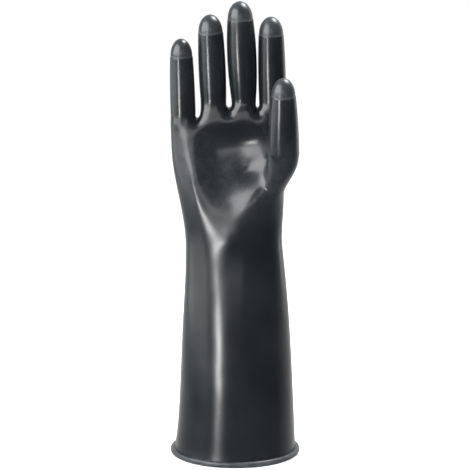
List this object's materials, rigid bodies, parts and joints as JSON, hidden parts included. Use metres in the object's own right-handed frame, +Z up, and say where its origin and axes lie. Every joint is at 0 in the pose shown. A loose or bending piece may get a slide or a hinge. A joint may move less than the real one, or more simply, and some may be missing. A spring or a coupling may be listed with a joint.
{
  "type": "insulating glove",
  "caption": "Long dipped-rubber electrical insulating glove for the right hand, with a rolled cuff bead, a flared sleeve and curved fingers that bend.",
  "frame": {"origin": "centre of the cuff on the surface the glove stands on", "axes": "+Z up from the cuff to the fingertips, the palm faces -Y, the thumb is on the +X side"},
  "size_m": [0.117, 0.117, 0.41],
  "materials": {
    "glove_rubber": "glossy dipped rubber with soft waves and a little talc",
    "fingertip_rubber": "the same rubber, thinner and slightly greyer over the dome of each fingertip",
    "bead_rubber": "rolled edge of the same rubber, rubbed duller along its crown"
  },
  "bodies": {
    "gauntlet": {"cuff_bead": "bead_rubber", "gauntlet": "glove_rubber"},
    "hand": {"wrist_band": "glove_rubber", "hand": "glove_rubber"},
    "index_lower": {"index_base_crease": "glove_rubber", "index_lower_tube": "glove_rubber"},
    "index_middle": {"index_middle_crease": "glove_rubber", "index_middle_tube": "glove_rubber"},
    "index_upper": {"index_upper_crease": "glove_rubber", "index_upper_tube": "glove_rubber", "index_tip": "fingertip_rubber"},
    "middle_lower": {"middle_base_crease": "glove_rubber", "middle_lower_tube": "glove_rubber"},
    "middle_middle": {"middle_middle_crease": "glove_rubber", "middle_middle_tube": "glove_rubber"},
    "middle_upper": {"middle_upper_crease": "glove_rubber", "middle_upper_tube": "glove_rubber", "middle_tip": "fingertip_rubber"},
    "ring_lower": {"ring_base_crease": "glove_rubber", "ring_lower_tube": "glove_rubber"},
    "ring_middle": {"ring_middle_crease": "glove_rubber", "ring_middle_tube": "glove_rubber"},
    "ring_upper": {"ring_upper_crease": "glove_rubber", "ring_upper_tube": "glove_rubber", "ring_tip": "fingertip_rubber"},
    "little_lower": {"little_base_crease": "glove_rubber", "little_lower_tube": "glove_rubber"},
    "little_middle": {"little_middle_crease": "glove_rubber", "little_middle_tube": "glove_rubber"},
    "little_upper": {"little_upper_crease": "glove_rubber", "little_upper_tube": "glove_rubber", "little_tip": "fingertip_rubber"},
    "thumb_lower": {"thumb_base_crease": "glove_rubber", "thumb_lower_tube": "glove_rubber"},
    "thumb_upper": {"thumb_upper_crease": "glove_rubber", "thumb_upper_tube": "glove_rubber", "thumb_tip": "fingertip_rubber"}
  },
  "joints": [
    {"name": "wrist_bend", "type": "hinge", "parent": "gauntlet", "child": "hand", "pos_m": [0, 0, 0.196], "axis": [1, 0, 0], "range_deg": [-35, 40], "stiffness_Nm_per_rad": 4, "deforming": ["wrist_band"]},
    {"name": "index_base_bend", "type": "hinge", "parent": "hand", "child": "index_lower", "pos_m": [0.0332, 0, 0.3245], "axis": [0.9997, 0, 0.0262], "range_deg": [-10, 45], "stiffness_Nm_per_rad": 0.3, "deforming": ["index_base_crease"]},
    {"name": "index_middle_bend", "type": "hinge", "parent": "index_lower", "child": "index_middle", "pos_m": [0.0326, -0.002, 0.34741], "axis": [0.9997, 0, 0.0262], "range_deg": [0, 60], "stiffness_Nm_per_rad": 0.2, "deforming": ["index_middle_crease"]},
    {"name": "index_upper_bend", "type": "hinge", "parent": "index_middle", "child": "index_upper", "pos_m": [0.03195, -0.00418, 0.3723], "axis": [0.9997, 0, 0.0262], "range_deg": [0, 36], "stiffness_Nm_per_rad": 0.15, "deforming": ["index_upper_crease"]},
    {"name": "middle_base_bend", "type": "hinge", "parent": "hand", "child": "middle_lower", "pos_m": [0.0076, 0, 0.326], "axis": [0.999, 0, 0.0436], "range_deg": [-10, 60], "stiffness_Nm_per_rad": 0.3, "deforming": ["middle_base_crease"]},
    {"name": "middle_middle_bend", "type": "hinge", "parent": "middle_lower", "child": "middle_middle", "pos_m": [0.00651, -0.00218, 0.35088], "axis": [0.999, 0, 0.0436], "range_deg": [0, 75], "stiffness_Nm_per_rad": 0.2, "deforming": ["middle_middle_crease"]},
    {"name": "middle_upper_bend", "type": "hinge", "parent": "middle_middle", "child": "middle_upper", "pos_m": [0.00532, -0.00458, 0.37825], "axis": [0.999, 0, 0.0436], "range_deg": [0, 45], "stiffness_Nm_per_rad": 0.15, "deforming": ["middle_upper_crease"]},
    {"name": "ring_base_bend", "type": "hinge", "parent": "hand", "child": "ring_lower", "pos_m": [-0.0192, 0, 0.3255], "axis": [0.9992, 0, 0.0401], "range_deg": [-10, 60], "stiffness_Nm_per_rad": 0.3, "deforming": ["ring_base_crease"]},
    {"name": "ring_middle_bend", "type": "hinge", "parent": "ring_lower", "child": "ring_middle", "pos_m": [-0.02012, -0.002, 0.34839], "axis": [0.9992, 0, 0.0401], "range_deg": [0, 75], "stiffness_Nm_per_rad": 0.2, "deforming": ["ring_middle_crease"]},
    {"name": "ring_upper_bend", "type": "hinge", "parent": "ring_middle", "child": "ring_upper", "pos_m": [-0.02112, -0.00418, 0.37328], "axis": [0.9992, 0, 0.0401], "range_deg": [0, 45], "stiffness_Nm_per_rad": 0.15, "deforming": ["ring_upper_crease"]},
    {"name": "little_base_bend", "type": "hinge", "parent": "hand", "child": "little_lower", "pos_m": [-0.0461, 0, 0.3148], "axis": [0.9997, 0, 0.0244], "range_deg": [-10, 60], "stiffness_Nm_per_rad": 0.3, "deforming": ["little_base_crease"]},
    {"name": "little_middle_bend", "type": "hinge", "parent": "little_lower", "child": "little_middle", "pos_m": [-0.04659, -0.00174, 0.33472], "axis": [0.9997, 0, 0.0244], "range_deg": [0, 75], "stiffness_Nm_per_rad": 0.2, "deforming": ["little_middle_crease"]},
    {"name": "little_upper_bend", "type": "hinge", "parent": "little_middle", "child": "little_upper", "pos_m": [-0.04706, -0.00344, 0.35414], "axis": [0.9997, 0, 0.0244], "range_deg": [0, 45], "stiffness_Nm_per_rad": 0.15, "deforming": ["little_upper_crease"]},
    {"name": "thumb_swing", "type": "hinge", "parent": "hand", "child": "thumb_lower", "pos_m": [0.0424, -0.0355, 0.281], "axis": [-0.0015, 0.9848, 0.1736], "range_deg": [-10, 45], "stiffness_Nm_per_rad": 0.4, "deforming": ["thumb_base_crease"]},
    {"name": "thumb_bend", "type": "hinge", "parent": "thumb_lower", "child": "thumb_upper", "pos_m": [0.04213, -0.04088, 0.31153], "axis": [0.0015, -0.9848, -0.1736], "range_deg": [0, 45], "stiffness_Nm_per_rad": 0.2, "deforming": ["thumb_upper_crease"]}
  ],
  "couplings": [
    {"joint": "index_upper_bend", "follows": "index_middle_bend", "ratio": 0.6},
    {"joint": "middle_upper_bend", "follows": "middle_middle_bend", "ratio": 0.6},
    {"joint": "ring_upper_bend", "follows": "ring_middle_bend", "ratio": 0.6},
    {"joint": "little_upper_bend", "follows": "little_middle_bend", "ratio": 0.6}
  ]
}
